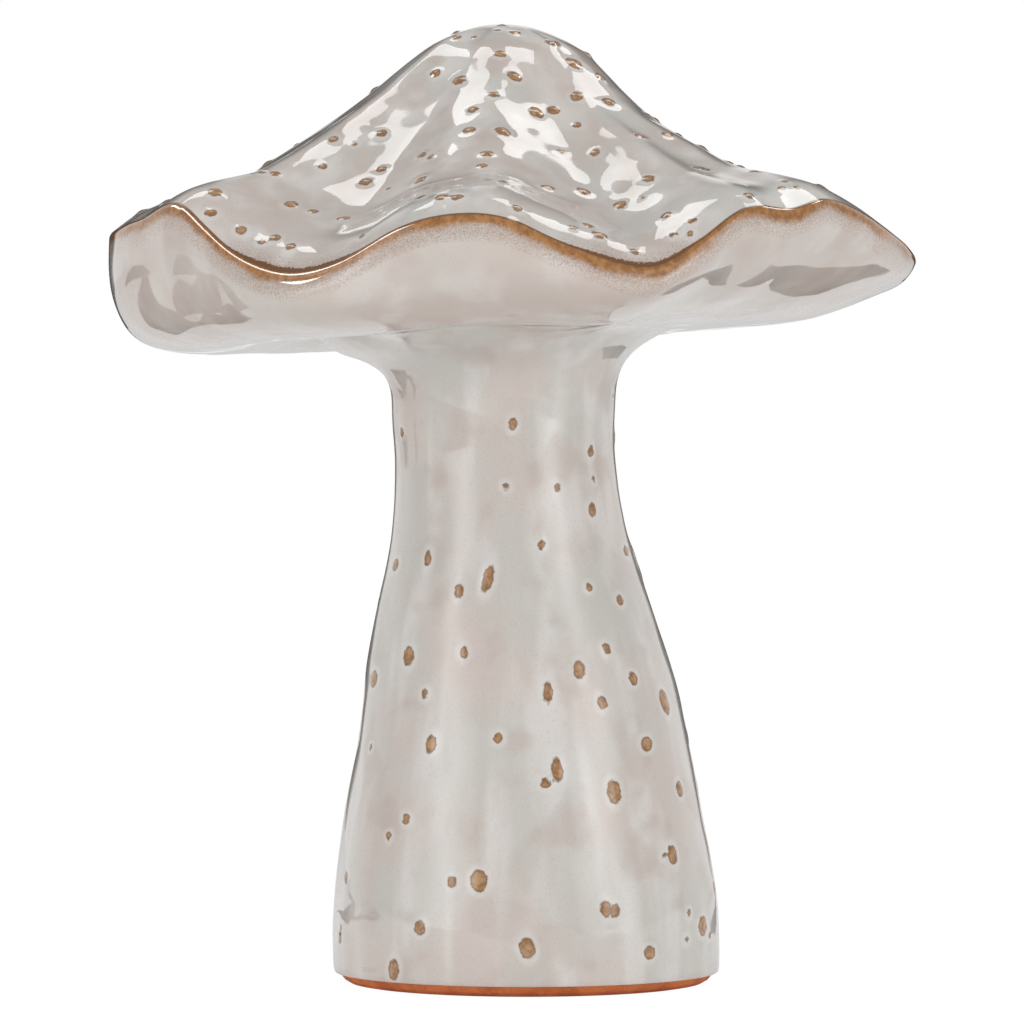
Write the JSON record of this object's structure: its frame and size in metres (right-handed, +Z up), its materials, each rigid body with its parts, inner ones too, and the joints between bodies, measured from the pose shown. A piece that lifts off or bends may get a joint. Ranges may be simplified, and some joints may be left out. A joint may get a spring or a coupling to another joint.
{
  "type": "ceramic mushroom ornament",
  "caption": "Hollow glazed ceramic mushroom ornament with a peaked, ruffled cap on a tapered stem, standing on a bare clay foot as a shelf or table decoration.",
  "frame": {"origin": "centre of the foot ring, on the surface that the ornament stands on", "axes": "+Z up along the stem, -Y the front that the picture shows, +X to the right in that view"},
  "size_m": [0.1686, 0.1688, 0.1999],
  "materials": {
    "speckled_glaze": "glossy off-white reactive glaze with brown specks and a golden-brown break on the rim",
    "terracotta_body": "bare fired earthenware, matt and slightly grainy",
    "joining_slip": "bare fired slip, matt and smooth"
  },
  "bodies": {
    "root": {"cap_crown": "terracotta_body", "rim_slip_seam": "joining_slip", "cap_underside": "terracotta_body", "neck_slip_seam": "joining_slip", "stem": "terracotta_body", "base_slip_seam": "joining_slip", "base_disc": "terracotta_body", "glaze_coat": "speckled_glaze"}
  },
  "joints": []
}
